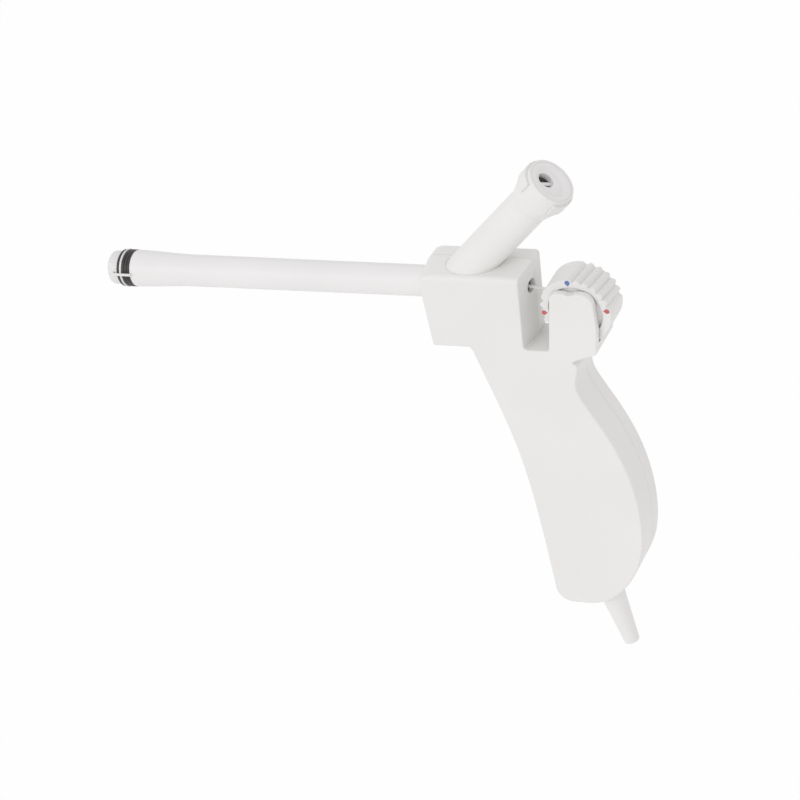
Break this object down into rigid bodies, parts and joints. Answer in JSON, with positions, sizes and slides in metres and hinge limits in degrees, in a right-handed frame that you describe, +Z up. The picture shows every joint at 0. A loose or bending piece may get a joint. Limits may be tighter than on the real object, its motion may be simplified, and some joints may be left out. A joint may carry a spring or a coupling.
{
  "type": "rubber band ligator",
  "caption": "Gun-shaped haemorrhoid band ligator: slim barrel with stretched bands, angled suction port, grip and serrated release thumbwheel.",
  "frame": {"origin": "centre of the muzzle's face on the barrel axis", "axes": "+X back along the barrel, +Z up the grip, -Y towards the side with the index marks"},
  "size_m": [0.1987, 0.018, 0.2068],
  "materials": {
    "housing": "fine satin moulded ABS, off-white",
    "barrel": "smooth satin tube, off-white",
    "clear": "translucent frosted white",
    "band": "satin black latex",
    "cord": "braided white cord",
    "wheel": "satin off-white",
    "blue": "printed enamel, blue",
    "red": "printed enamel, red",
    "port": "smooth satin, off-white",
    "cap": "smooth satin, white",
    "nozzle": "smooth satin, off-white",
    "inner": "plain moulded",
    "seal": "matt black",
    "hose": "soft clear vinyl",
    "pin": "plain moulded",
    "steel": "drawn stainless"
  },
  "bodies": {
    "housing": {"housing_left": "housing", "housing_right": "housing", "assembly_pins": "pin", "barrel": "barrel", "band_drum": "clear", "release_loop": "cord", "cord_crimp": "steel", "pull_cord": "cord", "wheel_axle": "steel", "click_spring": "steel", "port_tube": "port", "port_collar": "port", "port_cap": "cap", "port_gasket": "seal", "vacuum_manifold": "inner", "barrel_seal_ring": "seal", "cord_seal": "seal", "suction_hose": "hose", "suction_nozzle": "nozzle"},
    "wheel": {"thumbwheel": "wheel", "index_mark_blue": "blue", "index_marks_red": "red", "ratchet_disc": "inner"},
    "band_1_body": {"band_1": "band"},
    "band_2_body": {"band_2": "band"},
    "band_3_body": {"band_3": "band"},
    "band_4_body": {"band_4": "band"}
  },
  "joints": [
    {"name": "thumbwheel_turn", "type": "hinge", "parent": "housing", "child": "wheel", "pos_m": [0.1856, 0, -0.0062], "axis": [0, 1, 0], "range_deg": [0, 360], "deforming": ["pull_cord", "release_loop", "click_spring"]},
    {"name": "band_1_release", "type": "slide", "parent": "housing", "child": "band_1_body", "axis": [-1, 0, 0], "range_m": [0, 0.015]},
    {"name": "band_2_release", "type": "slide", "parent": "housing", "child": "band_2_body", "axis": [-1, 0, 0], "range_m": [0, 0.014]},
    {"name": "band_3_release", "type": "slide", "parent": "housing", "child": "band_3_body", "axis": [-1, 0, 0], "range_m": [0, 0.013]},
    {"name": "band_4_release", "type": "slide", "parent": "housing", "child": "band_4_body", "axis": [-1, 0, 0], "range_m": [0, 0.012]}
  ],
  "couplings": [
    {"joint": "band_1_release", "follows": "thumbwheel_turn", "m_per_rad": 0.0023873},
    {"joint": "band_2_release", "follows": "thumbwheel_turn", "m_per_rad": 0.0022282},
    {"joint": "band_3_release", "follows": "thumbwheel_turn", "m_per_rad": 0.002069},
    {"joint": "band_4_release", "follows": "thumbwheel_turn", "m_per_rad": 0.0019099}
  ]
}
